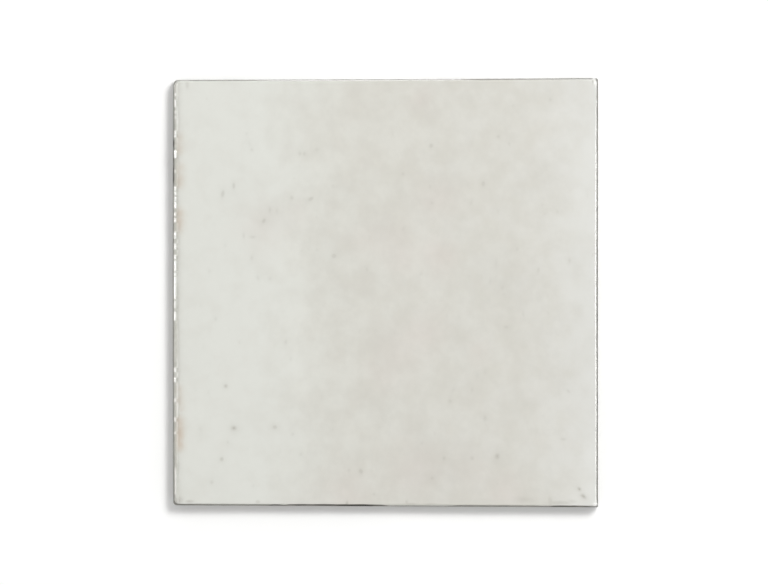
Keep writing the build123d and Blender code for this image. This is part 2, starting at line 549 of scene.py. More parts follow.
# Widths are in millimetres, and a stretch is how many widths a pinhole is long.
SMALL_PINHOLE_WIDTH = 0.95
SMALL_STRETCH = (1.0, 1.9)
SMALL_DARKNESS = (0.1, 0.2)
SCATTERED_PINHOLES = 45
# The scatter reaches this share of the tile's size from its middle.
SCATTER_REACH = 0.46
SCATTERED_WIDTHS = (0.6, 1.2)
SCATTERED_STRETCH = (0.8, 1.8)
SCATTERED_DARKNESS = (0.03, 0.1)
# The most that a pinhole's length is turned from upright, in degrees.
SLANT = 25
SEED = 11

chance = np.random.default_rng(SEED)
for column, row in SMALL_PINHOLES:
    length = SMALL_PINHOLE_WIDTH * chance.uniform(*SMALL_STRETCH)
    darkness = chance.uniform(*SMALL_DARKNESS)
    turn = chance.uniform(-SLANT, SLANT)
    pinholes.append((*from_photo(column, row), SMALL_PINHOLE_WIDTH, length, darkness, turn))
for _ in range(SCATTERED_PINHOLES):
    x = chance.uniform(-SCATTER_REACH, SCATTER_REACH) * TILE_WIDTH
    y = chance.uniform(-SCATTER_REACH, SCATTER_REACH) * TILE_HEIGHT
    width = chance.uniform(*SCATTERED_WIDTHS)
    length = width * chance.uniform(*SCATTERED_STRETCH)
    darkness = chance.uniform(*SCATTERED_DARKNESS)
    pinholes.append((x, y, width, length, darkness, chance.uniform(-SLANT, SLANT)))
print(f"{len(pinholes)} pinholes in all")

# %% [markdown]
# ## Build the mesh
#
# First the lattice: mark the cells near a pinhole, collect the points that are in use, and then walk
# round each cell. A marked cell gives small quads, and any other gives one polygon that picks up every
# used point on its four sides. The rings follow, band by band.

# %% Start a mesh that can grow
# Each face is glazed or bare, and these are also the numbers of its two materials.
GLAZED = 0
BARE = 1


class Mesh:
    """Points, normals and faces that grow together."""

    def __init__(self):
        self.points = []
        self.normals = []
        self.faces = []
        self.parts = []

    def add_points(self, points, normals):
        """Adds points and returns the number of the first."""
        first = sum(map(len, self.points))
        self.points.append(np.asarray(points, float))
        self.normals.append(np.asarray(normals, float))
        return first

    def add_face(self, corners, part):
        """Adds one face, given by its points' numbers and by whether it is glazed or bare."""
        self.faces.append(corners)
        self.parts.append(part)


tile = Mesh()
print(f"the mesh starts with {len(tile.faces)} faces")

# %% Mark the cells near a pinhole
PINHOLE_MARGIN = 0.35

marked = set()
for x, y, width, length, *rest in pinholes:
    reach = max(width, length) / 2 + PINHOLE_MARGIN
    first_column = math.floor((x - reach) / cell_width + columns / 2)
    last_column = math.floor((x + reach) / cell_width + columns / 2)
    first_row = math.floor((y - reach) / cell_height + rows / 2)
    last_row = math.floor((y + reach) / cell_height + rows / 2)
    for column in range(max(first_column, 0), min(last_column, columns - 1) + 1):
        for row in range(max(first_row, 0), min(last_row, rows - 1) + 1):
            marked.add((column, row))
print(f"{len(marked)} cells are to be cut fine")

# %% Make the lattice's points
used = {(i * CUTS, j * CUTS) for i in range(columns + 1) for j in range(rows + 1)}
used.update(border_points)
for column, row in marked:
    for i in range(CUTS + 1):
        used.update((column * CUTS + i, row * CUTS + j) for j in range(CUTS + 1))
order = sorted(used)
number_of = {point: number for number, point in enumerate(order)}
lattice_plan = np.array([lattice_place(i, j) for i, j in order])
up = (0.0, 0.0, 1.0)
tile.add_points(lifted(lattice_plan, face_height(*lattice_plan.T)), [up] * len(order))
print(f"the lattice has {len(order)} points")

# %% Make the lattice's faces
for column in range(columns):
    for row in range(rows):
        i = column * CUTS
        j = row * CUTS
        if (column, row) in marked:
            for di in range(CUTS):
                for dj in range(CUTS):
                    square = [(di, dj), (di + 1, dj), (di + 1, dj + 1), (di, dj + 1)]
                    tile.add_face([number_of[i + a, j + b] for a, b in square], GLAZED)
            continue
        walk = [(i + step, j) for step in range(CUTS)]
        walk += [(i + CUTS, j + step) for step in range(CUTS)]
        walk += [(i + CUTS - step, j + CUTS) for step in range(CUTS)]
        walk += [(i, j + CUTS - step) for step in range(CUTS)]
        tile.add_face([number_of[point] for point in walk if point in number_of], GLAZED)
print(f"the lattice has {len(tile.faces)} faces")

# %% Add the rings
inner_loop = [number_of[point] for point in border_points]
for number, (ring, normals) in enumerate(zip(rings, ring_normals)):
    first = tile.add_points(ring, normals)
    outer_loop = list(range(first, first + len(ring)))
    part = GLAZED if number <= parting_ring else BARE
    for k in range(len(ring)):
        after = (k + 1) % len(ring)
        tile.add_face([inner_loop[k], outer_loop[k], outer_loop[after], inner_loop[after]], part)
    inner_loop = outer_loop
back_loop = inner_loop
print(f"with its rings it has {len(tile.faces)} faces")

# %% [markdown]
# ## The keyed back
#
# A pressed tile's back carries a grid of shallow cells, so that the adhesive grips it. The cells are
# drafted, or the tile would stick in its die. The grid is a small lattice of its own: lines at every
# cell's mouth, plain faces on the ribs, and a floor with four leaning walls in each cell. Between the
# grid and the outer ring lies the flat border, which Blender's polygon filler cuts into triangles. The
# back has crisp edges, so its faces are shaded flat later on.

# %% Find the lines of the grid
KEY_CELLS_IN_ROW = 10
KEY_RIB = 2.6
KEY_DEPTH = 0.8
KEY_DRAFT = 25.0
KEY_BORDER = 6.4


def key_lines(side):
    """Where the mouths of the cells begin and end along one side."""
    ribs = (KEY_CELLS_IN_ROW - 1) * KEY_RIB
    keyed = side - 2 * (BACK_LEAN + KEY_BORDER)
    mouth = (keyed - ribs) / KEY_CELLS_IN_ROW
    lines = []
    for cell in range(KEY_CELLS_IN_ROW):
        start = -keyed / 2 + cell * (mouth + KEY_RIB)
        lines += [start, start + mouth]
    return lines


lines_x = key_lines(TILE_WIDTH)
lines_y = key_lines(TILE_HEIGHT)
print(f"a cell's mouth is {lines_x[1] - lines_x[0]:.2f} by {lines_y[1] - lines_y[0]:.2f} mm")

# %% Make the cells and the ribs
# A cell's mouth begins at an even line and ends at the odd one after it. Between an odd line and the
# next even one lies a rib.
first_of_back = len(tile.faces)
down = (0.0, 0.0, -1.0)
grid = tile.add_points([(x, y, 0) for x in lines_x for y in lines_y], [down] * len(lines_x) * len(lines_y))
inset = KEY_DEPTH * math.tan(math.radians(KEY_DRAFT))
for a in range(len(lines_x) - 1):
    for b in range(len(lines_y) - 1):
        mouth = [grid + p * len(lines_y) + q for p, q in ((a, b), (a, b + 1), (a + 1, b + 1), (a + 1, b))]
        if a % 2 or b % 2:
            tile.add_face(mouth, BARE)
            continue
        x0, x1 = lines_x[a] + inset, lines_x[a + 1] - inset
        y0, y1 = lines_y[b] + inset, lines_y[b + 1] - inset
        floor_points = [(x0, y0, KEY_DEPTH), (x0, y1, KEY_DEPTH), (x1, y1, KEY_DEPTH), (x1, y0, KEY_DEPTH)]
        first = tile.add_points(floor_points, [down] * 4)
        for k in range(4):
            after = (k + 1) % 4
            tile.add_face([mouth[k], mouth[after], first + after, first + k], BARE)
        tile.add_face([first, first + 1, first + 2, first + 3], BARE)
print(f"{len(lines_x) // 2} by {len(lines_y) // 2} cells grip the adhesive")

# %% Fill the border round the cells
last = len(lines_x) - 1
grid_loop = [grid + a * len(lines_y) for a in range(last)]
grid_loop += [grid + last * len(lines_y) + b for b in range(last)]
grid_loop += [grid + a * len(lines_y) + last for a in range(last, 0, -1)]
grid_loop += [grid + b for b in range(last, 0, -1)]
all_points = np.concatenate(tile.points)
loops = [back_loop, grid_loop]
flat_loops = [[Vector(all_points[n]) for n in loop] for loop in loops]
both = back_loop + grid_loop
for triangle in tessellate_polygon(flat_loops):
    a, b, c = (all_points[both[n]] for n in triangle)
    facing_up = (b[0] - a[0]) * (c[1] - a[1]) - (b[1] - a[1]) * (c[0] - a[0]) > 0
    corners = [both[n] for n in triangle]
    tile.add_face(corners[::-1] if facing_up else corners, BARE)
print(f"the back brings it to {len(tile.faces)} faces")

# %% [markdown]
# ## What every point of the mesh knows
#
# The relief and the materials ask the same things of a point: does it lie on the face, on the flank or
# below the parting line, and how far is it from a side? Numpy answers for all points at once. Most
# answers change softly from 0 to 1, because nothing on a fired surface starts with a hard line. Noise
# from Blender's own library bends them further, and it is the same in each run.

# %% Ask the points where they are
# A normal counts as the flank's when it rises by less than the first number, and as the face's above
# the second one.
FACING_UP = (0.6, 0.95)
PARTING_SLACK = 0.01
# Each seed of the noise is this much further off in space.
NOISE_STEP = (17.3, 5.1, 11.7)


def smooth_step(value, start, end):
    """0 below start, 1 above end, and an even turn between them."""
    share = np.clip((value - start) / (end - start), 0, 1)
    return share * share * (3 - 2 * share)


def noise_at(points, scale, seed):
    """Smooth noise between -1 and 1, whose lumps are about one scale wide. Each seed gives its own."""
    offset = Vector([seed * step for step in NOISE_STEP])
    return np.array([noise.noise(Vector(point) / scale + offset) for point in points])


points = np.concatenate(tile.points)
normals = np.concatenate(tile.normals)
x, y, z = points.T
from_left = TILE_WIDTH / 2 + x
below_face = face_height(x, y) - z
on_face = smooth_step(normals[:, 2], *FACING_UP)
on_back = (z < PARTING_HEIGHT - PARTING_SLACK).astype(float)
on_flank = (1 - on_face) * (1 - on_back)
print(f"{on_face.mean():.0%} of the points are on the face, and {on_flank.mean():.0%} on rim and flank")

# %% [markdown]
# ## Beads along the left side
#
# On the left the glaze ran thin over a sharp clay edge. It stands there in a chain of smooth beads that
# catch the light, and between them the clay shows through, knobbly and matt. The beads are also painted
# whiter, partly as thick glaze and partly as a painted highlight of their glints. The beads follow the
# photograph from top to bottom. Each is a stretch of the side with soft ends, which the difference of
# two tanh curves gives: one rises at its start, and the other takes that back at its end.

# %% Place the beads
# First and last row of each bead on the photograph, and its strength.
BEADS = [
    (93.5, 96, 0.45), (100, 107.5, 0.45), (111, 114, 0.3), (116, 119, 0.25), (131, 137.5, 0.9),
    (145, 148, 0.12), (150.5, 158, 1.6), (170, 173, 0.3), (186.5, 191, 0.8), (192, 196, 1.0),
    (197, 201, 1.0), (202, 208.5, 1.0), (212.5, 216, 0.7), (218, 222.5, 0.9), (232, 238.5, 0.9),
    (243.5, 249.5, 0.8), (255, 259.2, 0.8), (260.7, 271, 0.95), (272.8, 276, 0.85), (277, 284, 0.85),
    (284, 299, 0.6), (301, 308.5, 0.42), (311.5, 320.5, 0.55), (338.5, 342, 0.12), (346, 362, 0.08),
    (367.5, 372, 0.7), (377.5, 382, 0.7), (398, 402, 0.35), (417.5, 421.5, 0.5), (431.5, 434, 0.4),
    (467, 494, 0.2),
]
BEAD_SOFTNESS = 0.22
# How far from the left side the beads stand, how far they reach from there, and the heights over which
# they grow out of the flank.
BEAD_LINE = 0.95
BEAD_REACH = 0.36
BEAD_FOOT = (6.8, 7.8)
# How far from the left side the rough rim starts to fade and is gone, and the heights over which it
# begins.
RIM_FADES = 0.8
RIM_GONE = 2.3
RIM_FOOT = (6.4, 7.4)


def in_stretches(places, stretches, softness):
    """How strongly places along a side, in millimetres, lie in one of some stretches."""
    strength = np.zeros(len(places))
    for start, end, amount in stretches:
        rise = np.tanh((places - start) / softness) - np.tanh((places - end) / softness)
        strength = np.maximum(strength, amount * rise / 2)
    return strength


def stretch_rows(stretches):
    """Stretches of rows on the photograph, as stretches of millimetres up the tile."""
    return [(from_photo(0, last)[1], from_photo(0, first)[1], amount) for first, last, amount in stretches]


bead_and_glint = in_stretches(y, stretch_rows(BEADS), BEAD_SOFTNESS)
bead_swell = bead_and_glint * bell(from_left - BEAD_LINE, BEAD_REACH) * smooth_step(z, *BEAD_FOOT)
on_left_rim = smooth_step(-from_left, -RIM_GONE, -RIM_FADES) * smooth_step(z, *RIM_FOOT)
gap = on_left_rim * (1 - np.clip(bead_and_glint, 0, 1))
print(f"{len(BEADS)} beads stand along the left side, with gaps on {(gap > 0.5).sum()} points")

# %% [markdown]
# ## Thin glaze and rust behind the beads
#
# Behind the beads the glaze is thin too, because it ran off the edge while it was molten. The grey clay
# shows through as a soft shade, and as a darker hollow right behind the beads. Iron in the clay comes up
# into such thin glaze, and stains it a faint rusty brown in a few stretches.

# %% Mark the thin glaze and the rust
# First and last row of each hollow on the photograph, and its strength.
HOLLOWS = [
    (96, 141, 1.1), (142, 187, 1.6), (188, 262, 1.7), (262, 332, 1.1), (333, 398, 1.7), (398, 442, 2.1),
    (442, 470, 1.2),
]
# First and last row of each rusty stretch, and its strength.
IRON_STRETCHES = [
    (134, 154, 0.7), (164, 188, 0.8), (208, 232, 0.9), (386, 411, 0.7), (416, 450, 1.2),
]
# A line is a distance from the left side, and a reach is how far the mark spreads from its line.
HOLLOW_SOFTNESS = 0.5
HOLLOW_LINE = 1.15
HOLLOW_REACH = 0.45
THIN_LINE = 0.6
THIN_REACH = 1.6
IRON_SOFTNESS = 1.2
IRON_LINE = 2.2
IRON_REACH = 1.5

hollow = in_stretches(y, stretch_rows(HOLLOWS), HOLLOW_SOFTNESS)
hollow *= bell(from_left - HOLLOW_LINE, HOLLOW_REACH)
thin = bell(from_left - THIN_LINE, THIN_REACH) + hollow
iron = in_stretches(y, stretch_rows(IRON_STRETCHES), IRON_SOFTNESS)
iron *= bell(from_left - IRON_LINE, IRON_REACH)
print(f"the glaze is thin on {(thin > 0.5).mean():.0%} of the points")

# %% [markdown]
# ## Four sides, each with its stretches
#
# The glaze rolls over the rim and stops on the flank in an uneven line. Where it stops high, the bare
# clay shows from above as a thin grey line, and in some stretches the clay is painted nearly black,
# partly as scorched clay and partly as painted shade on the flank. Which stretch of which side does what
# is read off the photograph. Seen from the side, a stretch must not end in a straight vertical cut. So
# noise moves its ends to and fro, and does so more the lower on the flank it is.

# %% Place the stretches of each side
# First and last column or row of each stretch, and how high the bare clay comes up in it.
BARE_STRETCHES = {
    "bottom": [(174, 290, 1.04), (280, 390, 1.07), (388, 448, 0.85), (447, 548, 1.03), (546, 593, 1.05)],
    "right": [(82, 102, 1.04), (100, 422, 1.0), (420, 503.5, 1.04)],
    "top": [(188, 262, 0.68), (466, 591.5, 0.85)],
    "left": [(92, 503, 0.97)],
}
BARE_SOFTNESS = {"bottom": 1.6, "right": 0.5, "top": 0.9, "left": 1.6}
# First and last column or row of each stretch painted nearly black, partly as scorched clay and
# partly as painted shade, and how black it is.
SCORCH_AND_SHADE_STRETCHES = {
    "bottom": [(174, 192, 0.5), (271, 388, 1.0), (388, 393, 0.6), (448, 546, 0.25), (546, 593, 1.0)],
    "left": [(142, 186, 1.0)],
}
SCORCH_AND_SHADE_SOFTNESS = 0.5
# How wide the noise's lumps are, how far they move an end at the rim and low on the flank, and the
# heights between which the one turns into the other.
END_SCALE = 2.6
END_SWING_AT_RIM = 1.0
END_SWING_LOW = 3.6
SWING_TURNS = (4.5, 8.2)
# A point comes to belong to a side between these distances from the tile's middle.
UP_AND_DOWN = (60, 62)
LEFT_AND_RIGHT = (62, 64)

end_swing = END_SWING_AT_RIM + (END_SWING_LOW - END_SWING_AT_RIM) * (1 - smooth_step(z, *SWING_TURNS))
end_x = x + end_swing * noise_at(points, END_SCALE, 8)
end_y = y + end_swing * noise_at(points, END_SCALE, 9)
on_side = {
    "bottom": smooth_step(-y, *UP_AND_DOWN),
    "right": smooth_step(x, *LEFT_AND_RIGHT),
    "top": smooth_step(y, *UP_AND_DOWN),
    "left": smooth_step(-x, *LEFT_AND_RIGHT),
}


def stretch_columns(stretches):
    """Stretches of columns on the photograph, as stretches of millimetres across the tile."""
    return [(from_photo(first, 0)[0], from_photo(last, 0)[0], amount) for first, last, amount in stretches]


def on_stretches(side, stretches, softness):
    """How strongly each point lies in one of some stretches of a side."""
    if side in ("bottom", "top"):
        return in_stretches(end_x, stretch_columns(stretches), softness) * on_side[side]
    return in_stretches(end_y, stretch_rows(stretches), softness) * on_side[side]


for side, belongs in on_side.items():
    print(f"{(belongs > 0.5).sum()} points belong to the {side} side")

# %% [markdown]
# ## The edge of the glaze
#
# All of this becomes one number for each point: its height above the edge of the glaze, in
# millimetres. A number that is 0 or 1 would give the edge the steps of the mesh. This one changes
# evenly between two points, so the material can find the edge in it, and draw it finer than the mesh
# is. The glaze also gathers: in a roll along the middle of the top side, which hangs down over the
# flank and is painted white there as a painted reflection, and in a small bead at two of the corners,
# which is painted white as a painted glint.

# %% See where clay comes up, where glaze gathers and where glints are painted
# Between the beads clay comes up a little more, and below a strong one a little less.
GAP_RISE = 0.06
# First and last column of the top side where the glaze gathered in a roll, which is also painted
# white there as a painted reflection, and its strength.
ROLLS = [(262, 466, 0.52)]
ROLL_SOFTNESS = 2.0
ROLL_PLACE = (64.5, 65.5)
# Column, row and radius on the photograph of each bead at a corner, which is also painted white as a
# painted glint, and its strength.
CORNER_BEADS_AND_GLINTS = [(593.8, 79.3, 1.9, 0.75), (595, 504, 2.0, 1.05)]


def soft_spots(x, y, spots):
    """The sum of soft round spots, each given by its place, its radius and its strength."""
    total = np.zeros(len(x))
    for column, row, radius, amount in spots:
        centre_x, centre_y = from_photo(column, row)
        total += amount * bell(np.hypot(x - centre_x, y - centre_y), radius * mm_per_pixel)
    return total


bare_on = {side: on_stretches(side, found, BARE_SOFTNESS[side]) for side, found in BARE_STRETCHES.items()}
bare_on["left"] += GAP_RISE * on_side["left"] * (1 - np.clip(2 * bead_and_glint, 0, 2))
bare = np.maximum.reduce(list(bare_on.values()))
rolled = in_stretches(end_x, stretch_columns(ROLLS), ROLL_SOFTNESS) * smooth_step(y, *ROLL_PLACE)
corner_bead_and_glint = np.clip(soft_spots(x, y, CORNER_BEADS_AND_GLINTS), 0, 1) * (1 - on_back)
print(f"bare clay comes up at {(bare > 0.5).sum()} points, and glaze gathers at {(rolled > 0.25).sum()}")

# %% Find the edge of the glaze
# How far down from the face the glaze would reach, how far where clay comes up, and its longest tongue.
GLAZE_REACH = 3.2
BARE_REACH = 0.3
LONGEST_TONGUE = 1.5
# How much further the roll hangs down, and how far and in how wide lumps the noise swings that.
ROLL_HANG = 3.0
ROLL_SWING = 1.2
ROLL_SCALE = 9.0
# The same for the whole edge, and how much calmer it is where clay comes up.
EDGE_SWING = 0.5
EDGE_SCALE = 4.0
BARE_CALM = 0.8
# The heights, counted from the edge, at which the glaze has ended and at which it is whole.
NO_GLAZE = -0.15
FULL_GLAZE = 0.03
# The back counts as lying this much lower, so that no glaze gets there.
BACK_DROP = 2

glaze_edge = np.minimum(GLAZE_REACH + (BARE_REACH - GLAZE_REACH) * bare, LONGEST_TONGUE)
glaze_edge += rolled * (ROLL_HANG + ROLL_SWING * noise_at(points, ROLL_SCALE, 11))
glaze_edge += EDGE_SWING * (1 - BARE_CALM * bare) * noise_at(points, EDGE_SCALE, 4)
above_edge = np.maximum(glaze_edge, FULL_GLAZE) - below_face
above_edge = np.maximum(above_edge, NO_GLAZE + (FULL_GLAZE - NO_GLAZE) * corner_bead_and_glint)
above_edge -= BACK_DROP * on_back
cover = smooth_step(above_edge, NO_GLAZE, FULL_GLAZE)
print(f"the glaze covers {cover.mean():.0%} of the points")

# %% Give the bare faces their own clay, and mark the scorched and painted-shade ones
# A face is bare when none of its points has more glaze than this.
BARE_BELOW = 0.05
# The scorch and the painted shade fade in over these heights, and the whole right flank gets a little
# painted shade.
SCORCH_AND_SHADE_FOOT = (2.6, 5.0)
PAINTED_SHADE_ON_RIGHT = 0.35

for number, corners in enumerate(tile.faces):
    if tile.parts[number] == GLAZED and cover[corners].max() < BARE_BELOW:
        tile.parts[number] = BARE

scorches_and_shade = [on_stretches(side, found, SCORCH_AND_SHADE_SOFTNESS) for side, found in SCORCH_AND_SHADE_STRETCHES.items()]
scorches_and_shade.append(PAINTED_SHADE_ON_RIGHT * on_side["right"])
upper_flank = smooth_step(z + END_SWING_LOW * noise_at(points, END_SCALE, 10), *SCORCH_AND_SHADE_FOOT)
scorch_and_shade = np.maximum.reduce(scorches_and_shade) * upper_flank * (1 - on_back)
print(f"{tile.parts.count(BARE)} faces are bare clay, and {(scorch_and_shade > 0.5).sum()} points are scorched")

# %% [markdown]
# ## Where the glaze pooled
#
# The glaze isn't equally thick. From the left side to the middle it grows thicker, and looks creamier.
# That is one broad rise and fall across the tile. On it lie soft pools and thin patches from half a
# centimetre to two centimetres wide, which are a shade darker or lighter but no warmer, and a few rosy
# clouds. They are placed one by one from the photograph, as soft spots whose outlines the noise bends.

# %% Place the pools
# Column, row and radius of each spot on the photograph, and its strength.
GLAZE_POOLS = [
    (425, 103, 14, 0.25), (312, 99, 8, 0.2), (465, 103, 9, 0.2), (345, 193, 16, 0.3),
    (372, 219, 12, 0.25), (440, 180, 18, 0.4), (400, 182, 10, 0.2), (385, 236, 12, 0.3),
    (452, 226, 16, 0.3), (422, 209, 12, 0.2), (545, 176, 16, 0.35), (520, 192, 14, 0.25),
    (515, 283, 24, 0.4), (485, 263, 14, 0.25), (388, 337, 22, 0.25), (459, 343, 14, 0.2),
    (382, 412, 16, 0.3), (459, 389, 12, 0.2), (519, 406, 14, 0.25), (472, 446, 12, 0.25),
    (425, 439, 16, 0.3), (442, 473, 26, 0.5), (492, 456, 10, 0.2), (562, 380, 14, 0.3),
    (272, 219, 12, 0.25), (235, 195, 14, 0.2), (252, 143, 10, 0.1), (340, 300, 16, 0.15),
    (330, 250, 14, 0.15), (575, 262, 9, 0.25), (240, 428, 10, 0.15), (220, 484, 14, 0.15),
]
THIN_PATCHES = [
    (295, 362, 12, 0.3), (298, 392, 12, 0.35), (372, 309, 9, 0.3), (290, 250, 20, 0.3),
    (300, 325, 20, 0.3), (532, 136, 14, 0.3), (584, 150, 34, 0.35), (588, 205, 26, 0.35),
    (592, 455, 12, 0.4), (586, 493, 20, 0.6), (412, 256, 12, 0.15), (503, 366, 12, 0.25),
    (410, 131, 12, 0.2), (202, 409, 16, 0.15), (289, 466, 14, 0.2), (560, 110, 16, 0.2),
    (376, 160, 12, 0.15), (547, 440, 12, 0.15),
]
ROSY_CLOUDS = [
    (262, 228, 24, 0.6), (300, 215, 14, 0.4), (392, 238, 22, 0.6), (436, 200, 20, 0.7),
    (438, 256, 18, 0.9), (400, 262, 14, 0.5), (405, 345, 26, 0.6), (430, 330, 18, 0.6),
    (384, 372, 20, 0.5), (416, 470, 26, 0.8), (470, 470, 22, 0.5), (505, 492, 18, 0.8),
    (345, 492, 22, 0.7), (478, 352, 12, 0.5), (420, 100, 12, 0.7), (362, 240, 16, 0.4),
]
print(f"{len(GLAZE_POOLS)} pools, {len(THIN_PATCHES)} thin patches and {len(ROSY_CLOUDS)} rosy clouds")

# %% Work out how thick the glaze lies
# The columns at which the broad pool starts, is full, begins to fade and ends.
POOL_COLUMNS = (238, 365, 500, 596)
BROAD_POOL = 0.8
# How far the noise bends the outlines, and how wide its lumps are.
BEND_MM = 1.6
BEND_SCALE = 5.0


def broad_pool(x):
    """How thick the glaze lies on the whole, from 0 at the left side to its most in the middle."""
    start, full, fade, end = (from_photo(column, 0)[0] for column in POOL_COLUMNS)
    faded = np.clip((x - fade) / (end - fade), 0, 1)
    return BROAD_POOL * smooth_step(x, start, full) * (1 - faded**2)


bent_x = x + BEND_MM * noise_at(points, BEND_SCALE, 5)
bent_y = y + BEND_MM * noise_at(points, BEND_SCALE, 6)
pooled = broad_pool(bent_x)
shade = soft_spots(bent_x, bent_y, GLAZE_POOLS) - soft_spots(bent_x, bent_y, THIN_PATCHES)
rosy = soft_spots(bent_x, bent_y, ROSY_CLOUDS)
print(f"the spots make the glaze from {shade.min():.2f} to {shade.max():.2f} shades darker")

# %% [markdown]
# ## Pits, dust and smudges
#
# Now the pinholes are worked out for each point: how deep it lies in a pit, how dark the pit looks
# there, and how much dust has settled round it. Beside the rim there are a few smudges, where the glaze
# is thin or nicked. They are dark in the same way, but not deep.

# %% Work out the pinholes and the smudges
# The depth of a pinhole whose darkness is 1, in millimetres.
PINHOLE_DEPTH = 0.03
# How far the pit, its dark bottom and the dust spread, where 1 is the edge of the pinhole.
PIT_REACH = 0.9
DARK_REACH = 0.95
DUST_REACH = 2.6
# Further off than this many reaches of dust, a pinhole adds nothing.
NO_FURTHER = 2.5
# Column and row on the photograph, half the width and half the length in pixels, and the strength.
RIM_SMUDGES = [
    (179, 500, 4.2, 3.2, 0.6), (175.5, 502, 2.4, 1.8, 0.9), (189.5, 501, 3.6, 1.2, 0.7),
    (258, 501.5, 1.8, 1.5, 0.5), (347, 503, 0.9, 2.2, 0.8), (407, 502, 0.9, 2.6, 0.5),
    (411, 503.5, 6, 1, 0.3), (431, 503.5, 6, 1, 0.3), (524, 499.5, 9, 3, 0.25),
    (550, 501, 1, 4, 0.7), (560, 502.5, 9, 1.6, 0.55), (187.5, 85, 1.5, 4, 0.45),
    (259, 80.5, 1.8, 1.4, 0.7), (592.5, 82, 0.8, 2.6, 1.1), (593, 255, 1, 1.8, 0.6),
    (410, 80.5, 8, 1, 0.3), (235, 80.5, 8, 1, 0.3), (208, 81, 4, 1, 0.4), (572, 501, 4, 1.5, 0.3),
]


def pinhole_relief(x, y):
    """For each place: its depth in a pinhole in millimetres, how dark that is, and the dust near it."""
    sunk = np.zeros(len(x))
    inside = np.zeros(len(x))
    dust = np.zeros(len(x))
    for centre_x, centre_y, width, length, darkness, turn in pinholes:
        sine = math.sin(math.radians(turn))
        cosine = math.cos(math.radians(turn))
        across = (x - centre_x) * cosine + (y - centre_y) * sine
        along = (y - centre_y) * cosine - (x - centre_x) * sine
        distance = np.hypot(across / width, along / length) * 2
        near = distance < NO_FURTHER * DUST_REACH
        sunk[near] += darkness * PINHOLE_DEPTH * bell(distance[near], PIT_REACH)
        inside[near] = np.maximum(inside[near], darkness * bell(distance[near], DARK_REACH))
        dust[near] = np.maximum(dust[near], darkness * bell(distance[near], DUST_REACH))
    return sunk, inside, dust


sunk, in_pinhole, dust = pinhole_relief(x, y)
for column, row, half_width, half_length, strength in RIM_SMUDGES:
    centre_x, centre_y = from_photo(column, row)
    distance = np.hypot((x - centre_x) / half_width, (y - centre_y) / half_length)
    in_pinhole = np.maximum(in_pinhole, strength * bell(distance, mm_per_pixel))
print(f"the deepest pinhole is {sunk.max():.3f} mm deep")

# %% [markdown]
# ## Push the relief into the mesh
#
# All relief is a push along the point's own normal: the pits, a faint ripple of the whole glaze, the
# beads, the knobbly clay between them and the sandy clay of the flank. Most of it goes inwards, so that
# the tile keeps the size of its solid. Only the beads swell out, over a flank that leans in above the
# parting line.

# %% Push the points
# All in millimetres, apart from the share of a gap's depth that is there between its knobs too.
RIPPLE_DEPTH = 0.03
RIPPLE_SCALE = 5.5
BEAD_HEIGHT = 0.2
GAP_DEPTH = 0.1
GAP_LEAST = 0.3
KNOB_SCALE = 0.9
CLAY_DEPTH = 0.05
CLAY_SCALE = 1.4

ripple = 0.5 + 0.5 * noise_at(points, RIPPLE_SCALE, 1)
knobs = 0.5 + 0.5 * noise_at(points, KNOB_SCALE, 2)
clay = 0.5 + 0.5 * noise_at(points, CLAY_SCALE, 3)
push = (sunk + RIPPLE_DEPTH * ripple) * on_face
push -= BEAD_HEIGHT * bead_swell
push += GAP_DEPTH * (GAP_LEAST + (1 - GAP_LEAST) * knobs) * gap
push += CLAY_DEPTH * clay * on_flank * (1 - cover)
moved = points - normals * push[:, None]
moved = np.clip(moved, np.array(lowest) / MM, np.array(highest) / MM)
print(f"the relief goes {push.max():.2f} mm in and {-push.min():.2f} mm out")

# %% [markdown]
# ## Make the object
#
# The mesh gets its faces, and for each mark one number per point, which the materials read by its name.
# The face and the flank are shaded smooth, and the back flat.

# %% Collect the marks
# A pinhole is dark only where the normal rises, and the roll's painted reflection is white only where it
# leans outwards.
PINHOLE_RISE = (0.3, 0.8)
ROLL_RISE = (0.15, 0.75)

roll_painted_reflection = rolled * (1 - smooth_step(normals[:, 2], *ROLL_RISE))
marks = {
    "pinhole": in_pinhole * smooth_step(normals[:, 2], *PINHOLE_RISE),
    "dust": dust * on_face,
    # Whitens thick glaze on the beads, and adds painted highlights: glints, and the roll's reflection.
    "bead_and_glint": np.clip(bead_swell + corner_bead_and_glint + roll_painted_reflection, 0, 1),
    "bare_gap": gap,
    "thin_glaze": thin,
    "iron_stain": iron,
    "pooled": pooled,
    "shade": shade,
    "rosy": rosy,
    "above_glaze_edge": above_edge,
    "scorch_and_shade": scorch_and_shade,
}
print("marks:", ", ".join(marks))

# %% Make the object
mesh = bpy.data.meshes.new("glazed_tile")
mesh.from_pydata((moved * MM).tolist(), [], tile.faces)
mesh.polygons.foreach_set("material_index", tile.parts)
mesh.polygons.foreach_set("use_smooth", [number < first_of_back for number in range(len(tile.faces))])
for name, values in marks.items():
    attribute = mesh.attributes.new(name, "FLOAT", "POINT")
    attribute.data.foreach_set("value", values.astype(np.float32))
mesh.validate()
mesh.update()
glazed_tile = bpy.data.objects.new("glazed_tile", mesh)
bpy.context.scene.collection.objects.link(glazed_tile)
triangles = sum(len(face) - 2 for face in tile.faces)
print(f"glazed_tile has {len(mesh.vertices)} points and {triangles} triangles")

# %% [markdown]
# ## Compare it with the solid
#
# The mesh stands for the solid, so it has to lie on it. The distance from some of its points to the
# nearest place on the solid says how well it does: apart from the beads it should be hundredths of a
# millimetre.

# %% Measure the distance to the solid
# One point in this many is enough.
EVERY = 7

